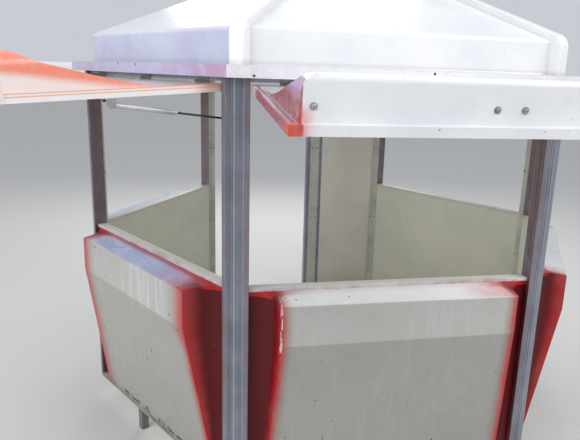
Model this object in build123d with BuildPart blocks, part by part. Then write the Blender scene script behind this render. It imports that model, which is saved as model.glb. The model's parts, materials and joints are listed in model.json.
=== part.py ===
from build123d import *
import os
from math import atan2, cos, degrees, hypot, radians, sin, sqrt, tan

os.makedirs("parts", exist_ok=True)

# A hexagonal street kiosk: moulded panels between grooved corner posts, a shallow
# faceted roof, and five flaps that swing up on gas struts. Millimetres, +Z up,
# the serving side towards -Y. The origin is on the ground under the middle of the
# whole with its flaps up, so the middle of the plan lies a little behind it.

# Plan
side = 1400
apothem = side * sqrt(3) / 2
fit = 0.3
side_names = ["front", "right_front", "right_back", "back", "left_back", "left_front"]
window_sides = [0, 1, 2, 4, 5]
door_side = 3

# Feet and base rails
foot_size = 40
foot_height = 126
foot_spacing = 420
rail_height = 45
rail_depth = 50
rail_top = foot_height + rail_height
rail_grooves = 3
groove_width = 6
groove_depth = 1.6

# Corner posts, head rails and sills
post_face = 36
band_width = 24
band_reach = 18
post_wall = 3
post_groove_places = [9, 23]
side_groove_place = 10
side_groove_width = 10
head_height = 56
head_bottom = 1936
wall_top = head_bottom + head_height
sill_height = 14
sill_top = 1100
strip_leg = 30
strip_thickness = 2.5

# Lower panels
panel_setback = 3
panel_depth = 38
lining_thickness = rail_depth - panel_depth
shelf_reach = 137
shelf_fall = 18
shelf_edge_radius = 8
apron_height = 173
ridge_radius = 15
panel_foot_reach = 12
cove_width = 121
cove_foot_width = 72

# Doorway and the fixed panel beside it
jamb_share = 0.11
jamb_strip_width = 72
field_margin = 45
field_height = 14

# Roof
roof_pitch = 24
shell = 6
ledge_reach = 60
ledge_height = 47
ledge_run_in = rail_depth
fascia_inset = 42
fascia_height = 145
fascia_foot_radius = 12
eave_radius = 18
seam = 0.2
cap_width = 68
cap_rise = 24
pilaster_reach = 32
cap_edge_radius = 9
cap_bend_radius = 65
cap_corners = [0, 1, 2, 4, 5]
crown_radius = 150
crown_rise = 36

# Flaps
axis_reach = 6
axis_drop = 5
flap_clearance = 5.5
flap_length = 820
flap_start = 5
flap_wall = 5
flap_rim = 30
flap_face_reach = 2
bulge_margin = 30
bulge_start_share = 0.25
bulge_end_gap = 30
bulge_height = 128
bulge_shape = [(0, 0), (0.25, 0.12), (0.43, 0.28), (0.69, 0.58), (0.87, 0.82), (1, 1)]
bulge_corner_radius = 50
bulge_end_radius = 20
bulge_side_lean = 8
strip_groove_width = 14
strip_groove_depth = 2.5
strip_groove_place = 18
flap_droop = {0: 5.5, 1: 4.5, 2: 4.5, 4: 4.5, 5: 3}

# Hinges
hinge_places = [-480, 0, 480]
knuckle_length = 30
knuckle_radius = 5
pin_radius = 2.2
pin_clearance = 0.3
knuckle_gap = 0.4
leaf_thickness = 2.5
leaf_length = 40

# Gas struts
strut_gap = 28
post_pivot_inset = 45
post_pivot_drop = 144
flap_pivot_distance = 455
flap_pivot_inset = 52
eye_radius = 8
eye_thickness = 10
stud_radius = 4
stud_head_radius = 7
stud_head_thickness = 3
rod_radius = 4
rod_length = 270
barrel_radius = 9
barrel_bore_radius = 4.5
barrel_length = 240
barrel_end = 20
barrel_cap = 12
ear_thickness = 3
ear_radius = 14
stub_gap = 0.5

window_half = side / 2 - post_face - band_width
panel_half = window_half - fit
panel_bottom = rail_top + fit
shelf_top = sill_top - sill_height
shelf_edge_height = shelf_top - shelf_fall
ridge_height = shelf_edge_height - apron_height
jamb_middle = -side * jamb_share
jamb_width = 2 * (post_face + band_width)
ledge_top = wall_top + fit + shell
ledge_bottom = ledge_top - ledge_height
eave_corner = ledge_top + fascia_height
roof_apex = eave_corner + (apothem - fascia_inset) * tan(radians(roof_pitch))
axis_height = head_bottom - axis_drop
flap_width = 2 * (window_half - flap_clearance)
strut_place = window_half - strut_gap

# A piece is built in front of the plan's middle and turned to its side about it
flap_tip = apothem + axis_reach + flap_start + flap_length
plan_middle = (flap_tip - flap_width * cos(radians(30))) / 4


def side_turn(number):
    return Location((0, plan_middle, 0), (0, 0, 60 * number))


# Feet: two square tubes under the middle of each side
with BuildPart() as feet:
    for number in range(6):
        with BuildSketch(Plane.XY):
            with Locations(side_turn(number)):
                with Locations(
                    (-foot_spacing / 2, -apothem + rail_depth / 2),
                    (foot_spacing / 2, -apothem + rail_depth / 2),
                ):
                    Rectangle(foot_size, foot_size)
    extrude(amount=foot_height - fit)
feet.part.label = "feet"
export_step(feet.part, "parts/feet.step")

# Base rails: six grooved rails, mitred at the corners
with BuildPart() as base_rail:
    with BuildSketch(Plane.YZ):
        with Locations((-apothem + rail_depth / 2, foot_height + rail_height / 2)):
            Rectangle(rail_depth, rail_height)
        for number in range(rail_grooves):
            height = foot_height + rail_height * (number + 1) / (rail_grooves + 1)
            with Locations((-apothem, height)):
                Rectangle(2 * groove_depth, groove_width, mode=Mode.SUBTRACT)
    extrude(amount=side / 2, both=True)
    for turn in (30, 150):
        mitre = Vector(cos(radians(turn)), sin(radians(turn)), 0)
        split(bisect_by=Plane(origin=mitre * -seam, z_dir=mitre), keep=Keep.BOTTOM)

with BuildPart() as base_rails:
    with Locations(*[side_turn(number) for number in range(6)]):
        add(base_rail.part)
base_rails.part.label = "base_rails"
export_step(base_rails.part, "parts/base_rails.step")

# Corner posts: hollow chevrons, each leg with two grooves down its face and a raised
# band along its end that frames the window
with BuildPart() as corner_post:
    with BuildSketch(Plane.XY.offset(panel_bottom)):
        face_line = Vector(-sin(radians(30)), cos(radians(30)))
        face_normal = Vector(cos(radians(30)), sin(radians(30)))
        outer_corner = Vector(side, 0)
        face_end = outer_corner + face_line * post_face
        band_foot = face_end + face_line * band_width
        jamb_end = band_foot - face_normal * rail_depth
        inner_corner = Vector(side - rail_depth / cos(radians(30)), 0)
        with BuildLine():
            Polyline(
                outer_corner,
                face_end,
                face_end + face_normal * band_reach,
                band_foot + face_normal * band_reach,
                jamb_end,
                inner_corner,
            )
            mirror(about=Plane.XZ)
        make_face()
        offset(amount=-post_wall, kind=Kind.INTERSECTION, mode=Mode.SUBTRACT)
        for turn in (1, -1):
            for place in post_groove_places:
                middle = outer_corner + face_line * place
                with Locations((middle.X, turn * middle.Y)):
                    Rectangle(2 * groove_depth, groove_width, rotation=turn * 30, mode=Mode.SUBTRACT)
            middle = band_foot - face_normal * side_groove_place
            with Locations((middle.X, turn * middle.Y)):
                Rectangle(side_groove_width, 2 * groove_depth, rotation=turn * 30, mode=Mode.SUBTRACT)
    extrude(amount=wall_top - panel_bottom)

post_names = ["right", "back_right", "back_left", "left", "front_left", "front_right"]
for number, post_name in enumerate(post_names):
    with BuildPart() as post:
        with Locations(side_turn(number)):
            add(corner_post.part)
    post.part.label = f"corner_post_{post_name}"
    export_step(post.part, f"parts/corner_post_{post_name}.step")

# Head rails between the post tops, all round
with BuildPart() as head_rail:
    with BuildSketch(Plane.YZ):
        with Locations((-apothem + rail_depth / 2, head_bottom + head_height / 2)):
            Rectangle(rail_depth, head_height)
            Rectangle(rail_depth - 2 * post_wall, head_height - 2 * post_wall, mode=Mode.SUBTRACT)
    extrude(amount=panel_half, both=True)

with BuildPart() as head_rails:
    with Locations(*[side_turn(number) for number in range(6)]):
        add(head_rail.part)
head_rails.part.label = "head_rails"
export_step(head_rails.part, "parts/head_rails.step")

# Sill rails on top of the lower panels
with BuildPart() as sill_rail:
    with BuildSketch(Plane.YZ):
        with Locations((-apothem + rail_depth / 2, sill_top - sill_height / 2)):
            Rectangle(rail_depth, sill_height)
    extrude(amount=panel_half, both=True)

with BuildPart() as sill_rails:
    with Locations(*[side_turn(number) for number in window_sides]):
        add(sill_rail.part)
sill_rails.part.label = "sill_rails"
export_step(sill_rails.part, "parts/sill_rails.step")

# Lower panels: a face that leans out to a ridge, an upright apron under a shelf that
# falls outwards, and a hollow cove at each end that brings the form back to the posts
cove_stations = [
    (panel_bottom, panel_foot_reach, cove_foot_width),
    (ridge_height, shelf_reach, cove_width),
    (shelf_top, shelf_reach, cove_width),
]
with BuildPart() as lower_panel:
    with BuildSketch(Plane.YZ):
        with BuildLine():
            Polyline(
                (-apothem + panel_depth - fit, panel_bottom),
                (-apothem - panel_foot_reach, panel_bottom),
                (-apothem - shelf_reach, ridge_height),
                (-apothem - shelf_reach, shelf_edge_height),
                (-apothem, shelf_top - fit),
                (-apothem + panel_depth - fit, shelf_top - fit),
                close=True,
            )
        make_face()
        ridge = vertices().sort_by_distance((-apothem - shelf_reach, ridge_height))[0]
        fillet(ridge, radius=ridge_radius)
        shelf_edge = vertices().sort_by_distance((-apothem - shelf_reach, shelf_edge_height))[0]
        fillet(shelf_edge, radius=shelf_edge_radius)
    extrude(amount=panel_half, both=True)
    for end in (-1, 1):
        for below, above in zip(cove_stations, cove_stations[1:]):
            for height, reach, width in (below, above):
                with BuildSketch(Plane.XY.offset(height)):
                    with Locations((end * panel_half, -apothem - reach)):
                        Ellipse(width, reach + panel_setback)
            loft(ruled=True, mode=Mode.SUBTRACT)

for number in window_sides:
    with BuildPart() as panel:
        with Locations(side_turn(number)):
            add(lower_panel.part)
    panel.part.label = f"{side_names[number]}_panel"
    export_step(panel.part, f"parts/{side_names[number]}_panel.step")

# Lining boards behind the lower panels
with BuildPart() as wall_lining:
    with BuildSketch(Plane.XY.offset(panel_bottom)):
        with Locations((0, -apothem + panel_depth + lining_thickness / 2)):
            Rectangle(2 * panel_half, lining_thickness)
    extrude(amount=shelf_top - fit - panel_bottom)

with BuildPart() as wall_linings:
    with Locations(*[side_turn(number) for number in window_sides]):
        add(wall_lining.part)
wall_linings.part.label = "wall_linings"
export_step(wall_linings.part, "parts/wall_linings.step")

# Doorway: one jamb post, made like two post legs back to back, with a narrow fixed
# panel from it to the corner post
jamb_height = head_bottom - fit - panel_bottom
with BuildPart() as jamb_post:
    with BuildSketch(Plane.XY.offset(panel_bottom)):
        with Locations((jamb_middle, -apothem + rail_depth / 2)):
            Rectangle(jamb_width, rail_depth)
        for turn in (1, -1):
            with Locations((jamb_middle + turn * (post_face + band_width / 2), -apothem)):
                Rectangle(band_width, 2 * band_reach)
        offset(amount=-post_wall, kind=Kind.INTERSECTION, mode=Mode.SUBTRACT)
        for turn in (1, -1):
            for place in post_groove_places:
                with Locations((jamb_middle + turn * place, -apothem)):
                    Rectangle(groove_width, 2 * groove_depth, mode=Mode.SUBTRACT)
    extrude(amount=jamb_height)

with BuildPart() as door_jamb_post:
    with Locations(side_turn(door_side)):
        add(jamb_post.part)
door_jamb_post.part.label = "door_jamb_post"
export_step(door_jamb_post.part, "parts/door_jamb_post.step")

fixed_end = jamb_middle - jamb_width / 2 - fit
fixed_width = fixed_end + panel_half
fixed_middle = (fixed_end - panel_half) / 2
with BuildPart() as fixed_panel:
    with BuildSketch(Plane.XY.offset(panel_bottom)):
        with Locations((fixed_middle, -apothem + (rail_depth + panel_setback) / 2)):
            Rectangle(fixed_width, rail_depth - panel_setback)
    extrude(amount=jamb_height)
    with BuildSketch(Plane.XZ.offset(apothem - panel_setback)):
        with Locations((fixed_middle, panel_bottom + jamb_height / 2)):
            Rectangle(fixed_width - 2 * field_margin, jamb_height - 2 * field_margin)
    extrude(amount=field_height, taper=30)

with BuildPart() as back_fixed_panel:
    with Locations(side_turn(door_side)):
        add(fixed_panel.part)
back_fixed_panel.part.label = "back_fixed_panel"
export_step(back_fixed_panel.part, "parts/back_fixed_panel.step")

# Cover strips: folded over the inner corner of each post, and a flat one on the jamb
strip_seat = (apothem - rail_depth - fit) / cos(radians(30))
strip_back = strip_seat - strip_thickness / cos(radians(30))
with BuildPart() as cover_strip:
    with BuildSketch(Plane.XY.offset(panel_bottom)):
        leg_end = Vector(strip_seat, 0) + face_line * strip_leg
        with BuildLine():
            Polyline((strip_seat, 0), leg_end, leg_end - face_normal * strip_thickness, (strip_back, 0))
            mirror(about=Plane.XZ)
        make_face()
    extrude(amount=jamb_height)

with BuildPart() as jamb_strip:
    with BuildSketch(Plane.XY.offset(panel_bottom)):
        with Locations((jamb_middle, -apothem + rail_depth + fit + strip_thickness / 2)):
            Rectangle(jamb_strip_width, strip_thickness)
    extrude(amount=jamb_height)

with BuildPart() as cover_strips:
    with Locations(*[side_turn(number) for number in range(6)]):
        add(cover_strip.part)
    with Locations(side_turn(door_side)):
        add(jamb_strip.part)
cover_strips.part.label = "cover_strips"
export_step(cover_strips.part, "parts/cover_strips.step")

# Roof: one moulded segment for each side, with a ledge, a fascia, a rounded eave
# and a slope up to the middle
slope = tan(radians(roof_pitch))


def roof_outline(skin, base):
    """Outline of the roof's face moved out by skin, closed down to the height base."""
    front = -apothem + fascia_inset - skin
    corner = eave_corner + skin / cos(radians(roof_pitch)) - skin * slope
    with BuildSketch(Plane.XY) as outline:
        with BuildLine():
            Polyline(
                (front, base),
                (front, corner),
                (0, corner - front * slope),
                (0, base),
                close=True,
            )
        make_face()
        eave = vertices().sort_by_distance((front, corner))[0]
        fillet(eave, radius=eave_radius + skin)
    return outline.sketch_local


with BuildPart() as roof_segment:
    with BuildSketch(Plane.YZ):
        add(roof_outline(0, wall_top + fit))
        add(roof_outline(-shell, wall_top + fit - shell), mode=Mode.SUBTRACT)
        with BuildLine(mode=Mode.PRIVATE) as ledge_line:
            Polyline(
                (-apothem - ledge_reach, ledge_bottom),
                (-apothem - ledge_reach, ledge_top),
                (-apothem + ledge_run_in, ledge_top),
                (-apothem + ledge_run_in, ledge_top - shell),
                (-apothem - ledge_reach + shell, ledge_top - shell),
                (-apothem - ledge_reach + shell, ledge_bottom),
                close=True,
            )
        make_face(ledge_line.edges(), mode=Mode.ADD)
        fascia_foot = vertices().sort_by_distance((-apothem + fascia_inset, ledge_top))[0]
        fillet(fascia_foot, radius=fascia_foot_radius)
    extrude(amount=side, both=True)
    for turn in (30, 150):
        mitre = Vector(cos(radians(turn)), sin(radians(turn)), 0)
        split(bisect_by=Plane(origin=mitre * -seam, z_dir=mitre), keep=Keep.BOTTOM)

for number, side_name in enumerate(side_names):
    with BuildPart() as segment:
        with Locations(side_turn(number)):
            add(roof_segment.part)
    segment.part.label = f"roof_{side_name}"
    export_step(segment.part, f"parts/roof_{side_name}.step")

# The roof's outer form as one block, which the caps are cut to sit on
with BuildPart() as roof_block:
    with BuildSketch(Plane.YZ):
        add(roof_outline(fit, ledge_bottom))
        with Locations((-apothem / 2, (ledge_bottom + ledge_top + fit) / 2)):
            Rectangle(apothem + 2 * ledge_reach, ledge_height + fit)
        fascia_foot = vertices().sort_by_distance((-apothem + fascia_inset, ledge_top))[0]
        fillet(fascia_foot, radius=fascia_foot_radius - fit)
    extrude(amount=side, both=True)
    for turn in (30, 150):
        mitre = Vector(cos(radians(turn)), sin(radians(turn)), 0)
        split(bisect_by=Plane(origin=(0, 0, 0), z_dir=mitre), keep=Keep.BOTTOM)
    wedge = roof_block.part
    with Locations(*[Location((0, 0, 0), (0, 0, 60 * number)) for number in range(1, 6)]):
        add(wedge)

# Hip caps: a rib down each seam that turns over the eave and stands on the ledge
corner_reach = (apothem - fascia_inset) / cos(radians(30))
hip_slope = slope * cos(radians(30))
cap_lift = cap_rise / cos(radians(roof_pitch))
cap_foot = ledge_top
with BuildPart() as hip_cap:
    with BuildSketch(Plane.XZ):
        nose = corner_reach + pilaster_reach
        nose_height = eave_corner + cap_lift - pilaster_reach * hip_slope
        with BuildLine():
            Polyline(
                (nose, cap_foot),
                (nose, nose_height),
                (crown_radius, nose_height + (nose - crown_radius) * hip_slope),
                (crown_radius, cap_foot),
                close=True,
            )
        make_face()
        fillet(vertices().sort_by_distance((nose, nose_height))[0], radius=cap_bend_radius)
    extrude(amount=cap_width / 2, both=True)
    long_edges = hip_cap.faces().sort_by(Axis.Y)[0].edges() + hip_cap.faces().sort_by(Axis.Y)[-1].edges()
    outer_edges = [
        edge
        for edge in long_edges
        if edge.center().Z > cap_foot + cap_edge_radius and edge.center().X > crown_radius + cap_edge_radius
    ]
    fillet(outer_edges, radius=cap_edge_radius)
    add(roof_block.part, mode=Mode.SUBTRACT)

with BuildPart() as hip_caps:
    with Locations(*[side_turn(number) for number in cap_corners]):
        add(hip_cap.part)
hip_caps.part.label = "hip_caps"
export_step(hip_caps.part, "parts/hip_caps.step")

# Crown: a low faceted cover where the six slopes meet
with BuildPart() as crown:
    with BuildSketch(Plane.XY.offset(ledge_top)):
        RegularPolygon(radius=crown_radius - fit, side_count=6)
    extrude(amount=roof_apex + 2 * crown_rise - ledge_top)
    with Locations((0, 0, crown_rise)):
        add(roof_block.part, mode=Mode.INTERSECT)
    add(roof_block.part, mode=Mode.SUBTRACT)
with BuildPart() as roof_crown:
    with Locations(side_turn(0)):
        add(crown.part)
roof_crown.part.label = "roof_crown"
export_step(roof_crown.part, "parts/roof_crown.step")

# Hinges: pin, outer knuckles and fixed leaf on the head rail. In this frame the pin
# is the origin, -Y is outwards and the flap hangs down.
leaf_face = axis_reach - fit
with BuildPart() as fixed_hinge:
    with BuildSketch(Plane.YZ):
        Circle(knuckle_radius)
        with Locations((leaf_face - leaf_thickness / 2, leaf_length / 2)):
            Rectangle(leaf_thickness, leaf_length)
    extrude(amount=knuckle_length * 1.5 + knuckle_gap, both=True)
    with BuildSketch(Plane.YZ):
        Rectangle(4 * knuckle_radius, 2 * (knuckle_radius + knuckle_gap))
    extrude(amount=knuckle_length / 2 + knuckle_gap, both=True, mode=Mode.SUBTRACT)
    with BuildSketch(Plane.YZ):
        Circle(pin_radius)
    extrude(amount=knuckle_length / 2 + knuckle_gap, both=True)

hinge_axis = Location((0, -apothem - axis_reach, axis_height))
with BuildPart() as hinge_leaves:
    for number in window_sides:
        for place in hinge_places:
            with Locations(side_turn(number) * hinge_axis * Location((place, 0, 0))):
                add(fixed_hinge.part)
hinge_leaves.part.label = "hinge_leaves"
export_step(hinge_leaves.part, "parts/hinge_leaves.step")

# Flap: a moulded tray whose lower half swells outwards, with its own hinge knuckles
# and the ear that takes the gas strut
plate_face = axis_reach - flap_face_reach
bulge_root = plate_face + 2 * flap_wall
bulge_start = flap_start + flap_length * bulge_start_share
bulge_end = flap_start + flap_length - bulge_end_gap
bulge_crest = bulge_end - bulge_end_radius
bulge_half = flap_width / 2 - bulge_margin
with BuildPart() as flap:
    with BuildSketch(Plane.XY.offset(-flap_start)):
        with Locations((0, plate_face + flap_rim / 2)):
            Rectangle(flap_width, flap_rim)
    extrude(amount=-flap_length)
    for skin, mode in ((0, Mode.ADD), (flap_wall, Mode.SUBTRACT)):
        with BuildPart(mode=Mode.PRIVATE) as bulge:
            with BuildSketch(Plane.YZ):
                with BuildLine():
                    swell_points = [
                        (
                            plate_face + skin - bulge_height * rise,
                            -bulge_start - (bulge_crest - bulge_start) * run,
                        )
                        for run, rise in bulge_shape
                    ]
                    swell = Spline(*swell_points, tangents=((0, -1), (0, -1)))
                    turn_middle = (plate_face - bulge_height + bulge_end_radius, -bulge_crest)
                    end_turn = CenterArc(turn_middle, bulge_end_radius - skin, 180, 90)
                    Polyline(
                        end_turn @ 1,
                        (bulge_root, -(bulge_end - skin)),
                        (bulge_root, -bulge_start),
                        swell @ 0,
                    )
                make_face()
            extrude(amount=bulge_half - skin, both=True)
            with BuildSketch(Plane.XY):
                with BuildLine():
                    half = bulge_half - skin
                    top = plate_face + skin - bulge_height
                    Polyline(
                        (-half, bulge_root),
                        (-half + bulge_side_lean, top),
                        (half - bulge_side_lean, top),
                        (half, bulge_root),
                        close=True,
                    )
                make_face()
                fillet(vertices().group_by(Axis.Y)[0], radius=bulge_corner_radius - skin)
            extrude(amount=-flap_length, mode=Mode.INTERSECT)
        add(bulge.part, mode=mode)
    with BuildSketch(Plane.XY.offset(-flap_start - flap_wall)):
        with Locations((0, plate_face + flap_wall + flap_rim / 2)):
            Rectangle(flap_width - 2 * flap_wall, flap_rim)
    extrude(amount=-flap_length + 2 * flap_wall, mode=Mode.SUBTRACT)
    with BuildSketch(Plane.XY.offset(-flap_start - bulge_margin)):
        for turn in (1, -1):
            with Locations((turn * (flap_width / 2 - strip_groove_place), plate_face)):
                Rectangle(strip_groove_width, 2 * strip_groove_depth)
    extrude(amount=-flap_length + 2 * bulge_margin, mode=Mode.SUBTRACT)
    for place in hinge_places:
        with BuildSketch(Plane.YZ.offset(place)):
            Circle(knuckle_radius)
            with Locations((plate_face - leaf_thickness / 2, -leaf_length / 2)):
                Rectangle(leaf_thickness, leaf_length)
            Circle(pin_radius + pin_clearance, mode=Mode.SUBTRACT)
        extrude(amount=knuckle_length / 2, both=True)
    ear_side = flap_width / 2 - flap_wall
    pivot = (axis_reach + flap_pivot_inset, -flap_pivot_distance)
    with BuildSketch(Plane.YZ.offset(ear_side)):
        with BuildLine():
            ear_arc = CenterArc(pivot, ear_radius, -90, 180)
            Polyline(
                ear_arc @ 1,
                (plate_face + flap_wall, pivot[1] + 2 * ear_radius),
                (plate_face + flap_wall, pivot[1] - 2 * ear_radius),
                ear_arc @ 0,
            )
        make_face()
    extrude(amount=-ear_thickness)
    with BuildSketch(Plane.YZ.offset(ear_side - ear_thickness)):
        with Locations(pivot):
            Circle(stud_radius)
    extrude(amount=-(ear_side - ear_thickness - strut_place - eye_thickness / 2 - stub_gap))

for number in window_sides:
    swing = Location((0, 0, 0), (-(90 - flap_droop[number]), 0, 0))
    with BuildPart() as placed_flap:
        with Locations(side_turn(number) * hinge_axis * swing):
            add(flap.part)
    placed_flap.part.label = f"{side_names[number]}_flap"
    export_step(placed_flap.part, f"parts/{side_names[number]}_flap.step")

# Gas struts: in this frame the post pivot is the origin and the strut runs along -Y
with BuildPart() as strut_rod:
    with BuildSketch(Plane.YZ):
        Circle(eye_radius)
        Circle(stud_radius + fit, mode=Mode.SUBTRACT)
    extrude(amount=eye_thickness / 2, both=True)
    with BuildSketch(Plane.XZ.offset(eye_radius - fit)):
        Circle(rod_radius)
    extrude(amount=rod_length - eye_radius)


def strut_reach(droop):
    """Length of a strut and its rise above level, with the flap this far below level."""
    opened = radians(90 - droop)
    inset = axis_reach + flap_pivot_inset
    out = flap_pivot_distance * sin(opened) - inset * cos(opened)
    up = -flap_pivot_distance * cos(opened) - inset * sin(opened)
    out += axis_reach + post_pivot_inset
    up += post_pivot_drop
    return hypot(out, up), degrees(atan2(up, out))


with BuildPart() as strut_barrel:
    with BuildSketch(Plane.YZ):
        Circle(eye_radius)
        Circle(stud_radius + fit, mode=Mode.SUBTRACT)
    extrude(amount=eye_thickness / 2, both=True)
    with BuildSketch(Plane.XZ.offset(-barrel_end)):
        Circle(rod_radius)
    extrude(amount=barrel_end - eye_radius + fit)
    with BuildSketch(Plane.XZ.offset(-barrel_end)):
        Circle(barrel_radius)
    extrude(amount=-barrel_length)
    with BuildSketch(Plane.XZ.offset(-barrel_end - barrel_cap)):
        Circle(barrel_bore_radius)
    extrude(amount=-barrel_length, mode=Mode.SUBTRACT)

with BuildPart() as strut_stud:
    with BuildSketch(Plane.YZ.offset(window_half)):
        Circle(stud_radius)
    extrude(amount=-(window_half - strut_place + eye_thickness / 2 + stub_gap + stud_head_thickness))
    with BuildSketch(Plane.YZ.offset(strut_place - eye_thickness / 2 - stub_gap)):
        Circle(stud_head_radius)
    extrude(amount=-stud_head_thickness)

post_pivot_height = axis_height - post_pivot_drop
for number in window_sides:
    length, rise = strut_reach(flap_droop[number])
    pivot_place = side_turn(number) * Location((0, -apothem + post_pivot_inset, post_pivot_height))
    lean = Location((strut_place, 0, 0), (-rise, 0, 0))
    with BuildPart() as placed_rod:
        with Locations(pivot_place * lean):
            add(strut_rod.part)
    placed_rod.part.label = f"{side_names[number]}_strut_rod"
    export_step(placed_rod.part, f"parts/{side_names[number]}_strut_rod.step")
    with BuildPart() as placed_barrel:
        with Locations(pivot_place * lean * Location((0, -length, 0))):
            add(strut_barrel.part)
    placed_barrel.part.label = f"{side_names[number]}_strut_barrel"
    export_step(placed_barrel.part, f"parts/{side_names[number]}_strut_barrel.step")

with BuildPart() as strut_studs:
    for number in window_sides:
        with Locations(side_turn(number) * Location((0, -apothem + post_pivot_inset, post_pivot_height))):
            add(strut_stud.part)
strut_studs.part.label = "strut_studs"
export_step(strut_studs.part, "parts/strut_studs.step")
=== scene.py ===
import json
import math

import bpy
from mathutils import Matrix, Vector


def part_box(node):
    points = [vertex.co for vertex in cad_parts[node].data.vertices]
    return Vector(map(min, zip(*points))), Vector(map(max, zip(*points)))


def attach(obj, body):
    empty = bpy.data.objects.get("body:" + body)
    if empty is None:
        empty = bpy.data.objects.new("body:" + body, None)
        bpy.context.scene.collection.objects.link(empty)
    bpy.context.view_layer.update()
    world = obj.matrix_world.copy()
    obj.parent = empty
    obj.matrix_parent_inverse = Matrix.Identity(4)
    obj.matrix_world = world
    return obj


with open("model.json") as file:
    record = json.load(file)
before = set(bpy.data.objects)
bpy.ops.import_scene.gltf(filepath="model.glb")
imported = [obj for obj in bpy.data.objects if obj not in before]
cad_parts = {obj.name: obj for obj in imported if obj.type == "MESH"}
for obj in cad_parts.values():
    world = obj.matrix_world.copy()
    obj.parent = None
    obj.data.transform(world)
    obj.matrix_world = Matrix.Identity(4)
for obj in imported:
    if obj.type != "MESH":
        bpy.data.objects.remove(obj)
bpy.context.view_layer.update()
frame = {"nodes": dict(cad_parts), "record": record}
scene = bpy.context.scene
nodes = frame["nodes"]

# The plan: six sides turned about the middle of the hexagon, the front one facing -Y
plan = {
    "side": 1.4,
    "turn": 60,  # degrees from one side to the next
    "sides": ["front", "right_front", "right_back", "back", "left_back", "left_front"],
    "windows": [0, 1, 2, 4, 5],
    "doorSide": 3,
    "posts": ["right", "back_right", "back_left", "left", "front_left", "front_right"],
    "legWidth": 0.060,
    "bandStart": 0.036,  # the posts' raised band begins this far from the corner
    "jambMiddle": -0.154,  # along the door side
    "pinReach": 0.006,  # the flaps' hinge pins, out from the side's plane
    "pinHeight": 1.931,
}
apothem = plan["side"] * math.sqrt(3) / 2  # from the plan's middle to a side
windowHalf = plan["side"] / 2 - plan["legWidth"]
railLow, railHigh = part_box("base_rails")
planMiddle = (railLow.y + railHigh.y) / 2
railTop = railHigh.z
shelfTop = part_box("front_panel")[1].z
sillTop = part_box("sill_rails")[1].z
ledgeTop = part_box("hip_caps")[0].z


def sideMatrix(number):
    turn = Matrix.Rotation(math.radians(plan["turn"] * number), 4, "Z")
    return Matrix.Translation((0, planMiddle, 0)) @ turn


def openedAngle(number):
    # how far the flap stands open from hanging straight down
    joints = frame["record"]["behaviour"]["joints"]
    name = f"{plan['sides'][number]}_flap_hinge"
    return math.radians([joint["range_deg"][1] for joint in joints if joint["name"] == name][0])


# Camera: fitted to the photo, whose frame is 580 x 440 pixels
camera = {
    "place": (-0.9066, -3.571, 1.980),  # from the plan's middle
    "yaw": 0.2149,  # radians, as are pitch and roll
    "pitch": 0.2442,
    "roll": 0.0335,
    "focalPixels": 604.35,
    "centre": (309.05, 222.83),
    "imageSize": (580, 440),
    "sensor": 36.0,
    "clip": (0.05, 200),
}


def makeCamera():
    yaw, pitch, roll = camera["yaw"], camera["pitch"], camera["roll"]
    ahead = Vector((
        math.sin(yaw) * math.cos(pitch), math.cos(yaw) * math.cos(pitch), -math.sin(pitch)
    ))
    right = Vector((math.cos(yaw), -math.sin(yaw), 0))
    up = right.cross(ahead)
    rolledRight = right * math.cos(roll) + up * math.sin(roll)
    rolledUp = up * math.cos(roll) - right * math.sin(roll)
    turn = Matrix((rolledRight, rolledUp, -ahead)).transposed().to_4x4()
    place = Vector(camera["place"]) + Vector((0, planMiddle, 0))
    width, height = camera["imageSize"]
    data = bpy.data.cameras.new("camera")
    data.sensor_width = camera["sensor"]
    data.lens = camera["focalPixels"] * camera["sensor"] / width
    data.shift_x = (width / 2 - camera["centre"][0]) / width
    data.shift_y = (camera["centre"][1] - height / 2) / width
    data.clip_start, data.clip_end = camera["clip"]
    shown = bpy.data.objects.new("camera", data)
    scene.collection.objects.link(shown)
    shown.matrix_world = Matrix.Translation(place) @ turn
    scene.camera = shown


makeCamera()
scene.view_settings.view_transform = "Standard"
print("camera is in place")


# Materials
class Wire:
    # a shader socket that adds its Math nodes when it is used in an expression
    def __init__(self, paint, socket):
        self.paint, self.socket = paint, socket

    def maths(self, operation, first, second=None):
        values = {0: first} if second is None else {0: first, 1: second}
        return self.paint.node("Math", {"operation": operation}, values)

    def __add__(self, other):
        return self.maths("ADD", self, other)

    def __sub__(self, other):
        return self.maths("SUBTRACT", self, other)

    def __rsub__(self, other):
        return self.maths("SUBTRACT", other, self)

    def __mul__(self, other):
        return self.maths("MULTIPLY", self, other)

    def __truediv__(self, other):
        return self.maths("DIVIDE", self, other)

    __radd__ = __add__
    __rmul__ = __mul__

    def size(self):
        return self.maths("ABSOLUTE", self)

    def least(self, other):
        return self.maths("MINIMUM", self, other)

    def most(self, other):
        return self.maths("MAXIMUM", self, other)

    def step(self, low, high):
        # 0 below low, 1 above high, smooth between; low may be above high
        values = {"Value": self, "From Min": low, "From Max": high}
        return self.paint.node("MapRange", {"interpolation_type": "SMOOTHSTEP"}, values)

    def line(self, place, half, soft):
        # 1 within half of place, fading to 0 over soft
        return (self - place).size().step(half + soft, half)


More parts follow.
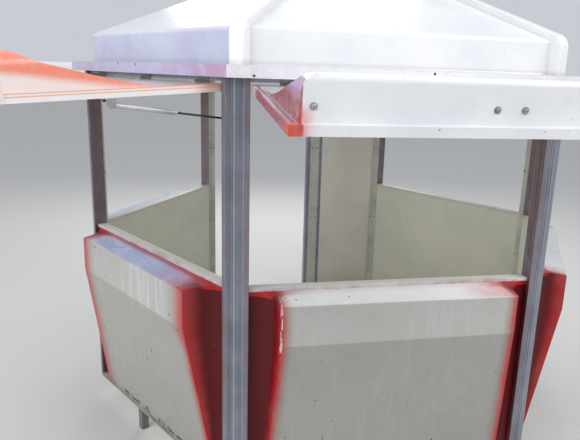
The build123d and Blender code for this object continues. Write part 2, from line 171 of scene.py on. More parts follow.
class Paint:
    def __init__(self, name):
        self.material = bpy.data.materials.new(name)
        self.material.use_nodes = True
        self.tree = self.material.node_tree
        self.shader = self.tree.nodes["Principled BSDF"]

    def node(self, kind, settings=None, inputs=None, output=0):
        made = self.tree.nodes.new("ShaderNode" + kind)
        for key, value in (settings or {}).items():
            setattr(made, key, value)
        for key, value in (inputs or {}).items():
            self.feed(made.inputs[key], value)
        return Wire(self, made.outputs[output])

    def feed(self, socket, value):
        if isinstance(value, Wire):
            self.tree.links.new(value.socket, socket)
        elif hasattr(value, "__len__") and len(value) == 3 and socket.type == "RGBA":
            socket.default_value = (*value, 1)
        else:
            socket.default_value = value

    def mix(self, share, below, above):
        # by number, because the Mix node names its colour sockets like its other ones
        inputs = {0: share, 6: below, 7: above}
        return self.node("Mix", {"data_type": "RGBA"}, inputs, 2)

    def place(self, number=0):
        # object coordinates turned into the side's own frame, and their three parts
        source = self.node("TexCoord", output=3)
        moved = self.node(
            "VectorMath", {"operation": "SUBTRACT"}, {0: source, 1: (0, planMiddle, 0)}
        )
        turned = self.node(
            "VectorRotate", {"rotation_type": "Z_AXIS"},
            {"Vector": moved, "Angle": -math.radians(plan["turn"] * number)},
        )
        parts = self.tree.nodes.new("ShaderNodeSeparateXYZ")
        self.feed(parts.inputs[0], turned)
        return turned, *(Wire(self, part) for part in parts.outputs)

    def noise(self, vector, scale, detail, roughness=0.5, stretch=None):
        if stretch:
            vector = self.node("VectorMath", {"operation": "MULTIPLY"}, {0: vector, 1: stretch})
        inputs = {"Vector": vector, "Scale": scale, "Detail": detail, "Roughness": roughness}
        return self.node("TexNoise", None, inputs)

    def noises(self, vector, kinds):
        # noises in the order of a dictionary of scale, detail, roughness and stretch
        return [self.noise(vector, *values) for values in kinds.values()]

    def spot(self, vector, centre, radius, soft):
        # 1 within the radius of the centre, fading to 0 over soft
        apart = self.node("VectorMath", {"operation": "DISTANCE"}, {0: vector, 1: centre}, 1)
        return apart.step(radius + soft, radius)

    def bump(self, height, strength, distance):
        inputs = {"Strength": strength, "Distance": distance, "Height": height}
        return self.node("Bump", None, inputs)

    def finish(self, constants=None, **varied):
        for key, value in (constants or {}).items():
            self.feed(self.shader.inputs[key], value)
        for key, value in varied.items():
            self.feed(self.shader.inputs[key.replace("_", " ")], value)
        return self.material


gelcoat = {
    "white": (0.78, 0.78, 0.78),
    "shade": (0.69, 0.70, 0.73),
    "red": (0.44, 0.008, 0.012),
    "darkRed": (0.085, 0.001, 0.003),
    "orange": (0.62, 0.085, 0.040),
    "salmon": (0.80, 0.24, 0.15),
    "peach": (0.78, 0.60, 0.54),
    "pink": (0.66, 0.26, 0.26),
    "rose": (0.34, 0.095, 0.12),
    "lilac": (0.42, 0.27, 0.43),
    "rust": (0.26, 0.14, 0.08),
    "brown": (0.22, 0.125, 0.105),
    "dirt": (0.20, 0.18, 0.13),
    "bare": (0.075, 0.062, 0.035),
}
gelcoatGloss = {
    "fixed": {"IOR": 1.5, "Coat Roughness": 0.08, "Specular IOR Level": 0.2},
    "noise": {
        "ripple": (7, 2), "scratches": (26, 5, 0.7, (1, 1, 0.12)), "dull": (3.2, 4, 0.6),
    },
    "rough": 0.2,
    # added to it in dull patches, where worn and where sprayed
    "roughDull": 0.18,
    "roughWorn": 0.4,
    "roughSprayed": 0.1,
    "coat": 0.42,
    # taken off it where sprayed and where worn
    "coatSprayed": 0.32,
    "coatWorn": 0.4,
    "relief": {"ripple": 0.5, "scratches": 0.08, "wear": 0.5},
    "bump": (0.3, 0.003),  # strength and distance
}


def gelcoatFinish(paint, vector, colour, wear, sprayed):
    # glossy moulded skin: faint orange-peel ripple, dulled and scratched in patches,
    # with less gloss where it is sprayed over
    look = gelcoatGloss
    relief = look["relief"]
    ripple, scratches, dull = paint.noises(vector, look["noise"])
    rough = dull.step(0.45, 0.75) * look["roughDull"] + wear * look["roughWorn"]
    rough = rough + sprayed * look["roughSprayed"] + look["rough"]
    coat = look["coat"] - sprayed * look["coatSprayed"] - wear * look["coatWorn"]
    height = ripple * relief["ripple"] + scratches * relief["scratches"] - wear * relief["wear"]
    return paint.finish(
        look["fixed"],
        Base_Color=colour,
        Roughness=rough,
        Coat_Weight=coat.most(0),
        Normal=paint.bump(height, *look["bump"]),
    )


# Lower panels. Numbers 0 to 5 are sides, and lengths along a side start at its middle.
# A noise is given by its scale, detail, roughness and stretch
panelLook = {
    "noise": {
        "patches": (4.5, 4, 0.6), "grain": (34, 5, 0.65), "fine": (75, 4, 0.7),
        "runs": (34, 3, 0.6, (1, 1, 0.05)), "specks": (46, 2),
    },
    "fuzz": 0.045,  # how far the patches push the edges of what is sprayed or worn
    # where the creases lie, in from the panel's ends
    "creaseAtShelf": 0.121,
    "creaseAtFoot": 0.072,
    # how far the shelf and the foot stand out from the side's plane
    "shelfReach": 0.137,
    "footReach": 0.012,
    "shelfFall": 0.018,
    "apronHeight": 0.173,
    # painted shade: the apron and the face are greyed below the gelcoat's white, the face most, as
    # it leans in under the ridge
    "apron": (0.43, 0.43, 0.405),
    "face": (0.335, 0.33, 0.31),
    # painted shade and painted sky reflection: the blue of the shelf on sides 4 and 5
    "shelf": {
        0: (0.80, 0.80, 0.79), 1: (0.74, 0.75, 0.78), 2: (0.74, 0.75, 0.78),
        4: (0.46, 0.52, 0.70), 5: (0.38, 0.45, 0.68),
    },
    # how strong the red line along the sill is between its ends
    "sillLine": {0: 0.12, 1: 0.6, 2: 0.6, 4: 0.8, 5: 0.85},
    "sillLineReach": (0.046, 0.010),  # fades out there, and is full there
    # how pale the runs down the apron are
    "runs": {5: 0.4},
    "runsElsewhere": 0.05,
    "runsPlace": (0.12, 0.16, 0.12),  # the middle of the pale ones, half width and fade
    "runsFaint": 0.05,
    "patchDirt": 0.12,
    "footDirt": 0.35,
    # how far the soft red fringe comes onto the face at the left end, and onto
    # the face and the apron at the right one
    "fringe": {0: (0.062, 0.075, 0.070), 5: (0.160, 0.075, 0.170)},
    "fringeElsewhere": (0.065, 0.065, 0.065),
    "fringeFade": (1.0, -0.2),  # in fringes from the crease: where it starts and is full
    # worn tints on the shelf: where along it they start and are full, colour, share
    "shelfTints": {
        0: [(0.22, 0.50, "pink", 0.75), (-0.46, -0.60, "peach", 0.8)],
        1: [(-0.36, -0.52, "pink", 0.8)],
        5: [(0.10, 0.36, "lilac", 0.7), (0.34, 0.50, "rose", 0.9), (-0.38, -0.52, "lilac", 0.9)],
    },
    # worn creases: which end, half width, lowest and highest, tint
    "rubs": {
        0: [(-1, 0.0016, 0.86, 1.06, "white"), (1, 0.010, 0.84, 1.04, "rose")],
        1: [(1, 0.003, 0.60, 1.0, "white")],
        2: [(-1, 0.002, 0.60, 1.0, "white"), (1, 0.003, 0.40, 0.8, "lilac")],
        4: [(-1, 0.002, 0.55, 1.0, "white"), (1, 0.004, 0.45, 0.9, "lilac")],
        5: [(-1, 0.003, 0.90, 1.06, "dirt")],
    },
    # patches along the foot where the skin has peeled: middle and half length
    "peeled": {
        5: [
            (-0.31, 0.06), (-0.215, 0.06), (-0.10, 0.05), (0.07, 0.05), (0.17, 0.05),
            (0.285, 0.11),
        ],
        0: [(0.42, 0.10)], 1: [(-0.1, 0.12)], 2: [(0.3, 0.1)], 4: [(0.0, 0.14)],
    },
    # small dark chips: along, height, half width, half height
    "chips": {
        5: [
            (0.141, 0.638, 0.006, 0.022), (0.077, 0.575, 0.005, 0.012),
            (-0.325, 0.370, 0.006, 0.016), (-0.429, 0.353, 0.004, 0.012),
            (0.051, 0.481, 0.005, 0.013), (-0.251, 0.922, 0.004, 0.014),
            (-0.372, 1.049, 0.010, 0.008), (0.313, 0.984, 0.004, 0.008),
            (0.400, 0.926, 0.006, 0.008), (0.467, 0.874, 0.008, 0.007),
        ],
        0: [(-0.31, 0.40, 0.004, 0.01), (0.22, 0.33, 0.005, 0.01)],
    },
}


def panelPaint(number):
    look = panelLook
    paint = Paint(f"{plan['sides'][number]}_panel_paint")
    vector, along, out, up = paint.place(number)
    reach = 0 - out - apothem
    shelfEdge = shelfTop - look["shelfFall"]
    ridge = shelfEdge - look["apronHeight"]
    patches, grain, fine, runs, specks = paint.noises(vector, look["noise"])
    fuzz = (patches - 0.5) * look["fuzz"]
    # the coves at both ends are sprayed red, with a soft rusty fringe on the face
    climb = ((up - railTop) / (ridge - railTop)).least(1).most(0)
    crease = climb * (look["creaseAtShelf"] - look["creaseAtFoot"]) + look["creaseAtFoot"]
    pastCrease = windowHalf - along.size() - crease
    left, right, rightApron = look["fringe"].get(number, look["fringeElsewhere"])
    rightWide = climb.step(0.80, 1.0) * (rightApron - right) + right
    fringeWide = along.step(-0.01, 0.01) * (rightWide - left) + left
    spray = ((pastCrease + fuzz) / fringeWide).step(*look["fringeFade"])
    onShelf = up.step(shelfEdge - 0.003, shelfEdge + 0.002)
    # painted shade: the face below the ridge is given the darker grey
    tone = paint.mix(up.step(ridge - 0.006, ridge + 0.004), look["face"], look["apron"])
    tone = paint.mix(patches.step(0.35, 0.7) * look["patchDirt"], tone, gelcoat["dirt"])
    # faint runs down it all, and pale ones on the apron
    onApron = up.step(ridge - 0.004, ridge + 0.01)
    pale = along.line(*look["runsPlace"]) * onApron
    pale = pale * look["runs"].get(number, look["runsElsewhere"])
    tone = paint.mix(runs.step(0.45, 0.75) * (pale + look["runsFaint"]), tone, gelcoat["white"])
    shelfTone = paint.mix(patches.step(0.4, 0.65) * 0.5, look["shelf"][number], gelcoat["shade"])
    worn = grain.step(0.30, 0.56) * 0.5 + 0.5
    for start, full, tint, share in look["shelfTints"].get(number, []):
        tinted = (along + fuzz * 1.5).step(start, full) * worn * share
        shelfTone = paint.mix(tinted, shelfTone, gelcoat[tint])
    tone = paint.mix(onShelf, tone, shelfTone)
    # painted shade: dark deep in the cove, redder towards its edge
    faceReach = climb * (look["shelfReach"] - look["footReach"]) + look["footReach"]
    deep = paint.mix((reach / faceReach).step(0.35, 1.0), gelcoat["darkRed"], gelcoat["red"])
    fringe = paint.mix(onShelf, gelcoat["rust"], gelcoat["pink"])
    sprayed = paint.mix(spray.step(0.20, 0.85), fringe, deep)
    colour = paint.mix(spray, tone, sprayed)
    # on the shelf the red is also a soft line along the sill, wider at its ends
    ends = (along.size() + fuzz).step(0.36, 0.60)
    sillLine = onShelf * (reach + fuzz * 0.6 - ends * 0.03).step(*look["sillLineReach"])
    sillLine = sillLine * (ends * (1 - look["sillLine"][number]) + look["sillLine"][number])
    faded = paint.mix(grain.step(0.48, 0.7) * 0.6, gelcoat["red"], gelcoat["rose"])
    colour = paint.mix(sillLine * 0.9, colour, faded)
    for end, half, lowest, highest, tint in look["rubs"][number]:
        height = up.line((lowest + highest) / 2, (highest - lowest) / 2, 0.05)
        rub = pastCrease.line(0.001, half, half * 1.3) * grain.step(0.46, 0.56) * height
        colour = paint.mix(rub * (along * end).step(0.2, 0.3) * 0.75, colour, gelcoat[tint])
    # chips on the crisp edges, on the faces and along the foot
    wear = (up.line(shelfEdge, 0.002, 0.006) * fine.step(0.69, 0.72)).most(
        up.line(ridge, 0.001, 0.004) * fine.step(0.68, 0.71) * 0.7
    )
    for place, height, across, tall in look["chips"].get(number, []):
        apart = ((along - place) / across).size() + ((up - height) / tall).size()
        wear = wear.most((apart + (fine - 0.5) * 1.5).step(1.2, 0.7) * 0.85)
    low = up - railTop + fuzz * 0.4
    peeled = low.step(0.02, 0.006) * fine.step(0.6, 0.64)
    for middle, half in look["peeled"][number]:
        patch = along.line(middle, half * 0.6, half * 0.5) * low.step(0.085, 0.012)
        peeled = peeled.most((patch * 0.6 + grain).step(1.03, 1.09))
    wear = wear.most(peeled).most(specks.step(0.745, 0.765))
    soiled = low.step(0.12, 0.0) * grain.step(0.4, 0.7) * look["footDirt"]
    colour = paint.mix(soiled, colour, gelcoat["dirt"])
    colour = paint.mix(wear, colour, gelcoat["bare"])
    return gelcoatFinish(paint, vector, colour, wear, spray.most(sillLine))


# Flaps. Lengths along a flap run from its hinge pin, and those across from its side edge
flapLook = {
    "noise": {
        "patches": (4.0, 4, 0.6), "grain": (30, 5, 0.65), "specks": (60, 2),
        "streaks": (22, 4, 0.6, (1, 0.1, 1)),
    },
    "fuzz": 0.02,
    "halfWidth": 0.6345,
    "groove": (0.011, 0.025),
    "wall": (0.042, 0.037),
    "faceDepth": 0.004,  # the flat top lies this far below the pin
    "swellings": [(0.327, 0.286), (0.25, 0.15)],  # where its slopes start, and how steep
    "tip": 0.795,
    "leafEnd": 0.042,
    "ear": 0.455,
    "earDrop": 0.0375,
    "metal": (0.28, 0.28, 0.28),
    "sideLines": [(-0.0055, 0.0015, 0.001), (-0.015, 0.0012, 0.0015)],  # height, half, fade
    "cornerGlow": {"pale": 0.15, "dusky": 1},
    "streaks": 0.15,
    # the sides that catch the sun get the pale set, painted sunlight that washes their red spray to
    # white and orange; the others keep a dusky rose
    "sunlit": [4, 5],
    "pale": {
        "wall": (0.78, 0.70, 0.67), "rim": (0.78, 0.76, 0.75),
        "groove": (0.78, 0.66, 0.61), "ridge": (0.76, 0.34, 0.22),
    },
    "dusky": {
        "wall": (0.33, 0.085, 0.11), "rim": (0.38, 0.095, 0.12),
        "groove": (0.30, 0.22, 0.30), "ridge": (0.74, 0.62, 0.66),
    },
}


def flapPaint(number):
    look = flapLook
    sunlit = number in look["sunlit"]
    kind = "pale" if sunlit else "dusky"
    ends = look[kind]
    paint = Paint(f"{plan['sides'][number]}_flap_paint")
    vector, along, out, up = paint.place(number)
    # how far out from the pin, along the flap, and how far over it
    droop = math.pi / 2 - openedAngle(number)
    reach, rise = 0 - out - apothem - plan["pinReach"], up - plan["pinHeight"]
    run = reach * math.cos(droop) - rise * math.sin(droop)
    over = reach * math.sin(droop) + rise * math.cos(droop)
    fromEnd = look["halfWidth"] - along.size()
    slopes = [(run - start) * steep for start, steep in look["swellings"]]
    crest = slopes[0].most(slopes[1]).most(0)
    underTop = crest - look["faceDepth"] - over
    patches, grain, specks, streaks = paint.noises(vector, look["noise"])
    fuzz = (patches - 0.5) * look["fuzz"]
    colour = paint.mix(patches.step(0.25, 0.8), gelcoat["white"], gelcoat["shade"])
    # the end walls, paler near the hinge
    mottled = paint.mix(grain.step(0.45, 0.75) * 0.35, ends["wall"], gelcoat["shade"])
    mottled = paint.mix(run.step(0.25, 0.08), mottled, gelcoat["peach"])
    wall = fromEnd.step(*look["wall"])
    colour = paint.mix(wall, colour, mottled)
    tipFace = run.step(look["tip"] - 0.014, look["tip"] - 0.002)
    if sunlit:
        # a salmon band follows the swelling's top edge: its red spray with painted sunlight on it
        below = underTop + fuzz * 0.6
        band = (below - crest * 0.52).step(0.022, -0.014) * fromEnd.step(0.12, 0.07)
        colour = paint.mix(band * (grain.step(0.2, 0.6) * 0.15 + 0.82), colour, gelcoat["salmon"])
    else:
        # painted shade: the rounded top edge is a lilac crescent, turning peach further from the
        # end
        band = (over + fuzz).step(0.044, 0.070) * fromEnd.step(0.115, 0.065) * (1 - tipFace)
        crescent = paint.mix(fromEnd.step(0.048, 0.090), gelcoat["lilac"], gelcoat["peach"])
        colour = paint.mix(band, colour, crescent)
    # rim, groove and the ridges beside it
    first, last = look["groove"]
    rim = fromEnd.step(first - 0.001, first - 0.003)
    rimTone = paint.mix(grain.step(0.45, 0.7) * 0.4, ends["rim"], ends["wall"])
    colour = paint.mix(rim * run.step(0.06, 0.20), colour, rimTone)
    groove = fromEnd.line((first + last) / 2, (last - first) / 2 - 0.001, 0.001)
    colour = paint.mix(groove * (grain.step(0.3, 0.6) * 0.4 + 0.6), colour, ends["groove"])
    ridges = fromEnd.line(first - 0.002, 0.0012, 0.001)
    ridges = ridges.most(fromEnd.line(last + 0.002, 0.0012, 0.001))
    if sunlit:
        # two thin lines along the rim's side
        for values in look["sideLines"]:
            ridges = ridges.most(rim * over.line(*values))
    beforeTip = run.step(look["tip"] + 0.002, look["tip"] - 0.002)
    colour = paint.mix(ridges * beforeTip * 0.85, colour, ends["ridge"])
    # the tip's corners are sprayed red, and painted orange as painted sunlight on that spray
    glow = tipFace * (fromEnd + fuzz * 3).step(0.095, 0.010) * (over + fuzz).step(0.058, 0.010)
    glow = glow * (grain.step(0.35, 0.6) * 0.4 + 0.6) * look["cornerGlow"][kind]
    colour = paint.mix(glow, colour, gelcoat["orange"])
    # hinge leaves, knuckles and the strut's ear are bare metal
    metal = run.step(look["leafEnd"] + 0.001, look["leafEnd"] - 0.001) * over.step(-0.0038, -0.0032)
    underEar = over.step(-look["earDrop"] + 0.001, -look["earDrop"] - 0.001)
    metal = metal.most(underEar * run.line(look["ear"], 0.06, 0.01))
    colour = paint.mix(metal, colour, look["metal"])
    wear = specks.step(0.75, 0.78)
    colour = paint.mix(streaks.step(0.62, 0.85) * look["streaks"], colour, gelcoat["dirt"])
    colour = paint.mix(wear, colour, gelcoat["bare"])
    return gelcoatFinish(paint, vector, colour, wear, glow.most(metal).most(wall * 0.5))


# Roof segments
roofLook = {
    "noise": {
        "patches": (2.6, 5, 0.6), "worn": (12, 5, 0.7), "grime": (30, 4, 0.7),
        "streaks": (15, 5, 0.65, (1, 0.25, 0.25)), "specks": (52, 2),
    },
    "ledgeReach": 0.06,
    # how worn to lilac the ledge is: in the middle, at the low end and at the high end
    "worn": {0: (0.08, 0.35, 0.20), 5: (0.45, 0.35, 1.0)},
    "wornElsewhere": (0.25, 0.5, 0.5),
    # painted shade and painted sky reflection: bluish tints of the fascia and ledge on these sides,
    # a lighter and a darker one
    "shadeTint": {
        4: ((0.58, 0.60, 0.70), (0.50, 0.51, 0.63)),
        5: ((0.51, 0.54, 0.67), (0.44, 0.43, 0.58)),
    },
    "fasciaHeight": 0.14,
    # small chips in the ledge's face: place along the side and height
    "chips": {0: [(-0.632, 1.960), (0.083, 1.989)], 5: [(-0.166, 1.992), (0.009, 1.990)]},
    "chipSize": (0.004, 0.003),  # radius and soft edge
    "grime": 0.45,
    "dust": 0.25,
    "streaks": 0.18,
}


def roofPaint(name, number):
    look = roofLook
    paint = Paint(name + "_paint")
    vector, along, out, up = paint.place(number)
    reach = 0 - out - apothem
    patches, worn, grime, streaks, specks = paint.noises(vector, look["noise"])
    shaded = patches.step(0.35, 0.7)
    tone = paint.mix(shaded, gelcoat["white"], gelcoat["shade"])
    # painted shade on the fascia and ledge of the sides listed
    if number in look["shadeTint"]:
        fascia = (up - ledgeTop - look["fasciaHeight"]).step(0.02, -0.02)
        tone = paint.mix(fascia, tone, paint.mix(shaded, *look["shadeTint"][number]))
    # the ledge is worn to a lilac tint, most towards its ends
    ledge = reach.step(look["ledgeReach"] - 0.004, look["ledgeReach"] - 0.002)
    middle, lowEnd, highEnd = look["worn"].get(number, look["wornElsewhere"])
    share = along.step(-0.35, -0.70) * (lowEnd - middle)
    share = share + along.step(0.15, 0.68) * (highEnd - middle) + middle
    worn = worn.step(0.34, 0.60) * 0.6 + 0.3
    colour = paint.mix(ledge * worn * share, tone, gelcoat["lilac"])
    # grime on the ledge's upper edge
    upper = up.line(ledgeTop, 0.0015, 0.002) * ledge
    colour = paint.mix(upper * grime.step(0.56, 0.64) * look["grime"], colour, gelcoat["dirt"])
    # dust washed down the slope gathers at the fascia's foot
    dust = up.line(ledgeTop, 0.006, 0.02) * (1 - ledge) * look["dust"]
    dust = dust.most(streaks.step(0.6, 0.85) * look["streaks"])
    colour = paint.mix(dust, colour, gelcoat["dirt"])
    wear = specks.step(0.755, 0.78)
    for place, height in look["chips"].get(number, []):
        centre = (place, -apothem - look["ledgeReach"], height)
        wear = wear.most(paint.spot(vector, centre, *look["chipSize"]))
    colour = paint.mix(wear, colour, gelcoat["bare"])
    return gelcoatFinish(paint, vector, colour, wear, ledge * 0.3)


# Posts, rails, strips, feet and fittings
metals = {
    # the posts' light aluminium is darkened and blued as painted shade
    "post": {"colour": (0.26, 0.28, 0.335), "dark": (0.18, 0.20, 0.25), "rough": 0.38},
    "rail": {"colour": (0.38, 0.38, 0.34), "dark": (0.20, 0.19, 0.16), "rough": 0.5},
    "head": {"colour": (0.50, 0.50, 0.56), "dark": (0.36, 0.37, 0.43), "rough": 0.42},
    "sill": {"colour": (0.68, 0.65, 0.64), "dark": (0.46, 0.40, 0.39), "rough": 0.45},
    "strip": {"colour": (0.56, 0.57, 0.51), "dark": (0.42, 0.43, 0.38), "rough": 0.42},
    "foot": {"colour": (0.20, 0.20, 0.20), "dark": (0.10, 0.08, 0.06), "rough": 0.6},
    "hinge": {"colour": (0.36, 0.36, 0.36), "dark": (0.17, 0.12, 0.08), "rough": 0.4},
    "screw": {"colour": (0.20, 0.20, 0.20), "dark": (0.08, 0.07, 0.06), "rough": 0.35},
    "rod": {"colour": (0.06, 0.06, 0.065), "dark": (0.03, 0.03, 0.03), "rough": 0.2},
    "barrel": {"colour": (0.58, 0.59, 0.60), "dark": (0.30, 0.30, 0.30), "rough": 0.3},
}
metalGrain = {
    "brushed": (160, 4, 0.6),  # its stretch is the piece's own
    "noise": {"cloud": (6, 4, 0.6), "stain": (40, 5, 0.7)},
    "dirtHeight": 0.12,  # above the base rail
    "bump": (0.12, 0.001),
}


def metalFinish(paint, kind, vector, up, metallic, stretch, overlays=()):
    look = metals[kind]
    brushed = paint.noise(vector, *metalGrain["brushed"], stretch)
    cloud, stain = paint.noises(vector, metalGrain["noise"])
    stain = stain.step(0.6, 0.75)
    tone = paint.mix(cloud.step(0.35, 0.75), look["colour"], look["dark"])
    colour = paint.mix(stain * 0.6, tone, look["dark"])
    low = up.step(railTop + metalGrain["dirtHeight"], railTop) * cloud.step(0.3, 0.6) * 0.4
    colour = paint.mix(low, colour, gelcoat["dirt"])
    for share, overlay in overlays:
        colour = paint.mix(share, colour, overlay)
    rough = look["rough"] + brushed * 0.12 + stain * 0.2
    return paint.finish(
        {"Metallic": metallic},
        Base_Color=colour,
        Roughness=rough,
        Normal=paint.bump(brushed * 0.5 - stain * 0.3, *metalGrain["bump"]),
    )


def metalPaint(kind, metallic=0.5, stretch=(1, 1, 0.03)):
    paint = Paint(f"{kind}_metal")
    vector, *_, up = paint.place()
    return metalFinish(paint, kind, vector, up, metallic, stretch)


postLook = {
    "grain": (18, 5, 0.65, (1, 1, 0.35)),
    # the colour of the painted highlight on the corner and the band's edge
    "edge": (0.60, 0.61, 0.65),
    "metallic": 0.4,
    "stretch": (1, 1, 0.02),
}


def postPaint(name, number):
    # the spray on panels and flaps has reached the band that frames each window
    paint = Paint(f"{name}_metal")
    vector, outwards, across, up = paint.place(number)
    lean = math.radians(plan["turn"] / 2)  # of a post's legs from straight across
    fromCorner = across.size() * math.cos(lean) - (outwards - plan["side"]) * math.sin(lean)
    jamb = fromCorner.step(plan["legWidth"] - 0.0035, plan["legWidth"] - 0.0010)
    band = fromCorner.step(plan["bandStart"] - 0.001, plan["bandStart"] + 0.001)
    # painted highlight: thin light lines along the corner and along the band's edge
    edge = fromCorner.step(0.0035, 0.0015)
    edge = edge.most(fromCorner.line(plan["bandStart"], 0.0008, 0.0006))
    grain = paint.noise(vector, *postLook["grain"])
    below = up.step(sillTop + 0.03, sillTop - 0.02)
    share = jamb * (grain.step(0.35, 0.6) * 0.4 + below * 0.35 + 0.15)
    rust = paint.mix(grain.step(0.4, 0.65), gelcoat["darkRed"], gelcoat["brown"])
    overlays = [
        (band * (grain.step(0.3, 0.65) * 0.3 + 0.18), gelcoat["brown"]),
        (edge * 0.4, postLook["edge"]),
        (share, rust),
    ]
    metallic, stretch = postLook["metallic"], postLook["stretch"]
    return metalFinish(paint, "post", vector, up, metallic, stretch, overlays)


# Linings and the fixed panel, and the sills in front of them
boards = {
    "lining": {"light": (0.64, 0.63, 0.53), "dark": (0.55, 0.55, 0.47)},
    "fixed": {"light": (0.62, 0.60, 0.53), "dark": (0.54, 0.52, 0.46)},
}
boardGrain = {
    "noise": {
        "cloud": (2.4, 4, 0.6), "fibre": (60, 4, 0.6, (1, 1, 0.3)),
        "smear": (9, 5, 0.7, (1, 1, 0.5)), "foot": (12, 5, 0.7),
    },
    "dirtHeight": 0.25,
    "bump": (0.12, 0.001),
}
sillLook = {
    "noise": {"grain": (24, 4, 0.65), "fine": (60, 4, 0.7)},
    # outwards from the side's plane: where the dull part turns into the lip, and its chips
    "lip": (-0.014, -0.018),
    "chips": (-0.013, 0.004, 0.003),
}


def sillPaint():
    # a pale lip, faintly rosy on its outer edge; the rest is as dull as the lining
    paint = Paint("sill_metal")
    vector, along, out, up = paint.place()
    # how far out from the nearest side's plane, by the plan's symmetry
    lean = math.radians(plan["turn"] / 2)
    slanted = along.size() * math.cos(lean) + out.size() * math.sin(lean)
    outwards = out.size().most(slanted) - apothem
    grain, fine = paint.noises(vector, sillLook["noise"])
    chipped = fine.step(0.60, 0.66) * outwards.line(*sillLook["chips"])
    low = up.step(sillTop - 0.004, sillTop - 0.012) * grain.step(0.42, 0.6) * 0.3
    overlays = [
        (outwards.step(*sillLook["lip"]) * 0.8, boards["lining"]["dark"]),
        (chipped * 0.8, gelcoat["bare"]),
        (low, gelcoat["rose"]),
    ]
    return metalFinish(paint, "sill", vector, up, 0.1, (1, 1, 1), overlays)


def boardPaint(kind):
    look = boards[kind]
    paint = Paint(f"{kind}_board_paint")
    vector, *_, up = paint.place()
    cloud, fibre, smear, foot = paint.noises(vector, boardGrain["noise"])
    low = (up - railTop).step(boardGrain["dirtHeight"], 0.0) * foot * 0.6
    soiled = (smear.step(0.6, 0.8) * 0.25).most(low)
    colour = paint.mix(cloud.step(0.3, 0.75), look["light"], look["dark"])
    return paint.finish(
        Base_Color=paint.mix(soiled, colour, gelcoat["dirt"]),
        Roughness=0.5 + fibre * 0.2,
        Normal=paint.bump(fibre, *boardGrain["bump"]),
    )


def setMaterial(nodeName, material):
    mesh = nodes[nodeName].data
    mesh.materials.clear()
    mesh.materials.append(material)


screwMetal = metalPaint("screw", 0.7, (1, 1, 1))
boltMetal = metalPaint("hinge", 0.7, (1, 1, 1))
rodMetal = metalPaint("rod", 0.9)
barrelMetal = metalPaint("barrel", 0.2)
for number in plan["windows"]:
    side = plan["sides"][number]
    setMaterial(f"{side}_panel", panelPaint(number))
    setMaterial(f"{side}_flap", flapPaint(number))
    setMaterial(f"{side}_strut_rod", rodMetal)
    setMaterial(f"{side}_strut_barrel", barrelMetal)
for number, side in enumerate(plan["sides"]):
    setMaterial(f"roof_{side}", roofPaint(f"roof_{side}", number))
for number, postName in enumerate(plan["posts"]):
    setMaterial(f"corner_post_{postName}", postPaint(f"corner_post_{postName}", number))
setMaterial("door_jamb_post", metalPaint("post", 0.45, (1, 1, 0.02)))
# the ribs and the crown belong to no side, and take none of a side's own wear
trimPaint = roofPaint("roof_trim", -1)
for nodeName in ("hip_caps", "roof_crown"):
    setMaterial(nodeName, trimPaint)
setMaterial("base_rails", metalPaint("rail", 0.35))
setMaterial("head_rails", metalPaint("head"))
setMaterial("sill_rails", sillPaint())
setMaterial("cover_strips", metalPaint("strip", 0.35, (1, 1, 0.02)))
setMaterial("feet", metalPaint("foot", 0.2))
setMaterial("hinge_leaves", boltMetal)
setMaterial("strut_studs", boltMetal)
setMaterial("wall_linings", boardPaint("lining"))
setMaterial("back_fixed_panel", boardPaint("fixed"))
print("materials are set")


# Modelling helpers
smoothAngle = math.radians(40)


def facesUp(face):
    return face.normal.z > 0.9


def pickFaces(piece, test):
    # leaves only the faces that pass the test selected, in edit mode
    bpy.ops.object.mode_set(mode="EDIT")
    bpy.ops.mesh.select_mode(type="FACE")
    bpy.ops.mesh.select_all(action="DESELECT")
    bpy.ops.object.mode_set(mode="OBJECT")
    for face in piece.data.polygons:
        face.select = test(face)
    bpy.ops.object.mode_set(mode="EDIT")


def setDown(piece, name, material):
    # out of edit mode, with the place in the mesh
    bpy.ops.object.mode_set(mode="OBJECT")
    bpy.ops.object.transform_apply(location=True, rotation=True, scale=True)
    bpy.ops.object.shade_smooth_by_angle(angle=smoothAngle)
    piece.name = name
    piece.data.materials.append(material)
    return piece


def scatter(model, name, places, body):
    # copies of the model at the places, joined into one piece that rides on the body
    bpy.ops.object.select_all(action="DESELECT")
    for count, place in enumerate(places):
        twin = model.copy()
        twin.data = model.data.copy()
        scene.collection.objects.link(twin)
        twin.data.transform(place)
        twin.select_set(True)
        if count == 0:
            bpy.context.view_layer.objects.active = twin
    bpy.ops.object.join()
    piece = bpy.context.object
    piece.name = name
    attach(piece, body)


def facing(direction, place):
    # a matrix that puts a head, modelled on +Z, at the place and facing that way
    turn = Vector(direction).to_track_quat("Z", "Y").to_matrix().to_4x4()
    return Matrix.Translation(place) @ turn


# Screws: pan heads with a socket, in pairs down the cover strips
screws = {
    "radius": 0.0052,
    "height": 0.0022,
    "sides": 16,
    "heights": [0.25, 0.82, 1.39, 1.90],
    "fromFold": 0.020,
    "stripFace": 0.0528,  # inwards from the side's plane
    "jambApart": 0.041,
    # the head's rounding, as shares of its radius inwards and of its height upwards
    "rounds": [(0.3, 0.35), (0.25, 0.12)],
    "socketLip": 0.05,
    "socketDepth": 0.7,
}


def addCylinder(sides, radius, height):
    # standing on the ground at the origin
    bpy.ops.object.select_all(action="DESELECT")
    bpy.ops.mesh.primitive_cylinder_add(
        vertices=sides, radius=radius, depth=height, location=(0, 0, height / 2)
    )
    return bpy.context.object


def roundOff(radius, height, rounds):
    # steps the picked faces inwards and upwards
    for inwards, upwards in rounds:
        bpy.ops.mesh.inset(thickness=radius * inwards)
        bpy.ops.transform.translate(value=(0, 0, height * upwards))


def extrudeUp(height):
    bpy.ops.mesh.extrude_region_move(TRANSFORM_OT_translate={"value": (0, 0, height)})


